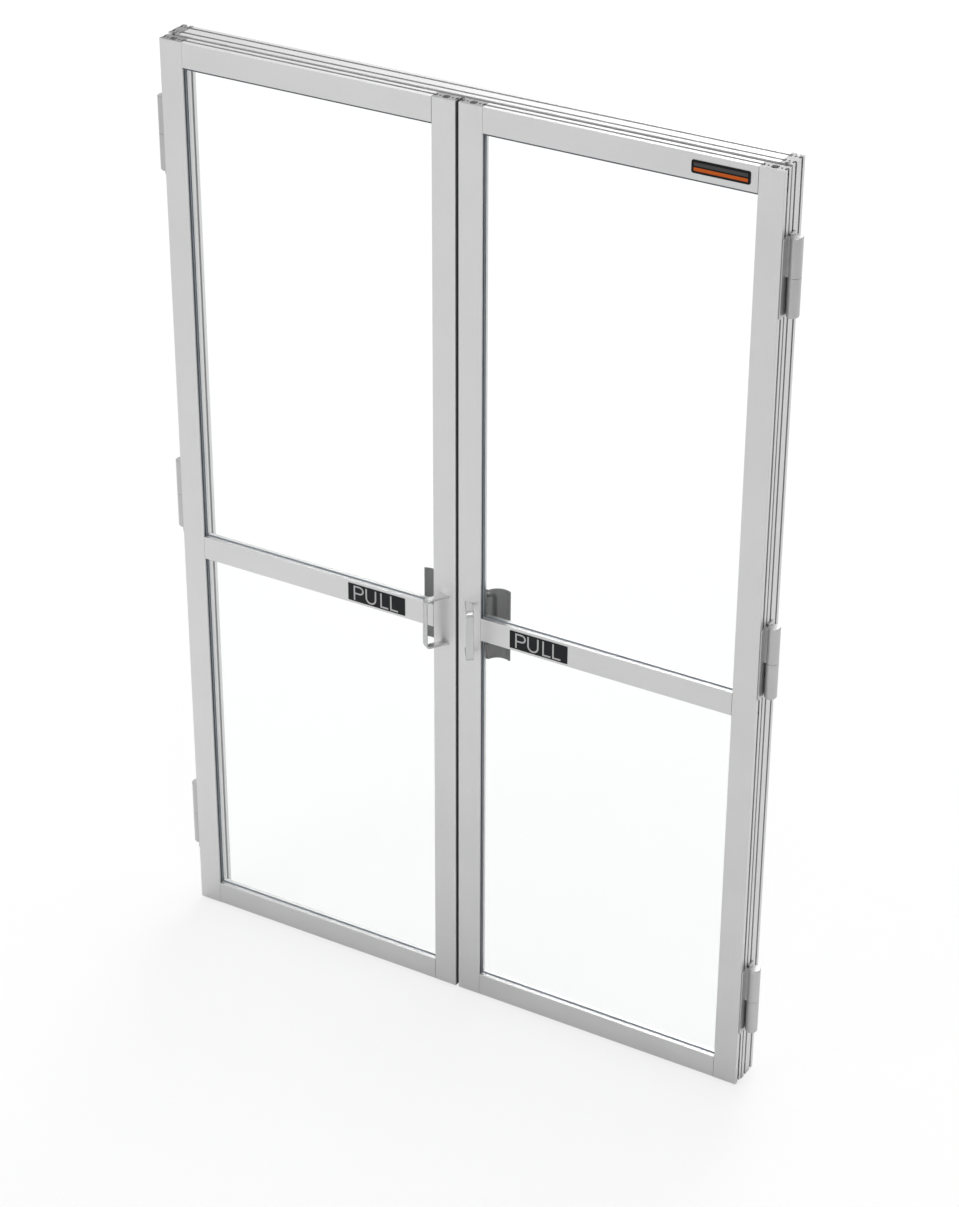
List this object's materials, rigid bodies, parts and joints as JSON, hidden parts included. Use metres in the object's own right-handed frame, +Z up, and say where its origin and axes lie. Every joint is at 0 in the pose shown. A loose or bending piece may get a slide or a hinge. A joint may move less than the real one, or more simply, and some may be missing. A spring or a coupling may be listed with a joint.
{
  "type": "hinged containment door",
  "caption": "Double-leaf swing door with clear panels in slotted aluminium framing, barrel hinges, D pulls in front and curved push plates behind.",
  "frame": {"origin": "middle of the left jamb's foot, on the floor", "axes": "+Z up, -Y towards the side the leaves open to, +X from the left jamb to the right jamb seen from that side"},
  "size_m": [1.3739, 0.1241, 2.0025],
  "materials": {
    "profile": "clear anodised, matt",
    "hinge": "satin",
    "pull": "brushed",
    "push_plate": "moulded, matt",
    "panel": "clear",
    "gasket": "matt"
  },
  "bodies": {
    "frame": {"left_jamb": "profile", "right_jamb": "profile", "header": "profile", "left_bottom_hinge_frame_half": "hinge", "left_middle_hinge_frame_half": "hinge", "left_top_hinge_frame_half": "hinge", "right_bottom_hinge_frame_half": "hinge", "right_middle_hinge_frame_half": "hinge", "right_top_hinge_frame_half": "hinge"},
    "left_leaf": {"left_hinge_stile": "profile", "left_meeting_stile": "profile", "left_bottom_rail": "profile", "left_middle_rail": "profile", "left_top_rail": "profile", "left_lower_gasket": "gasket", "left_lower_panel": "panel", "left_upper_gasket": "gasket", "left_upper_panel": "panel", "left_bottom_hinge_leaf_half": "hinge", "left_middle_hinge_leaf_half": "hinge", "left_top_hinge_leaf_half": "hinge", "left_pull_handle": "pull", "left_push_plate": "push_plate"},
    "right_leaf": {"right_hinge_stile": "profile", "right_meeting_stile": "profile", "right_bottom_rail": "profile", "right_middle_rail": "profile", "right_top_rail": "profile", "right_lower_gasket": "gasket", "right_lower_panel": "panel", "right_upper_gasket": "gasket", "right_upper_panel": "panel", "right_bottom_hinge_leaf_half": "hinge", "right_middle_hinge_leaf_half": "hinge", "right_top_hinge_leaf_half": "hinge", "right_pull_handle": "pull", "right_push_plate": "push_plate"}
  },
  "joints": [
    {"name": "left_leaf_swing", "type": "hinge", "parent": "frame", "child": "left_leaf", "pos_m": [-0.0287, -0.0279, 1.0028], "axis": [0, 0, -1], "range_deg": [0, 120]},
    {"name": "right_leaf_swing", "type": "hinge", "parent": "frame", "child": "right_leaf", "pos_m": [1.3198, -0.0279, 1.0028], "axis": [0, 0, 1], "range_deg": [0, 120]}
  ]
}
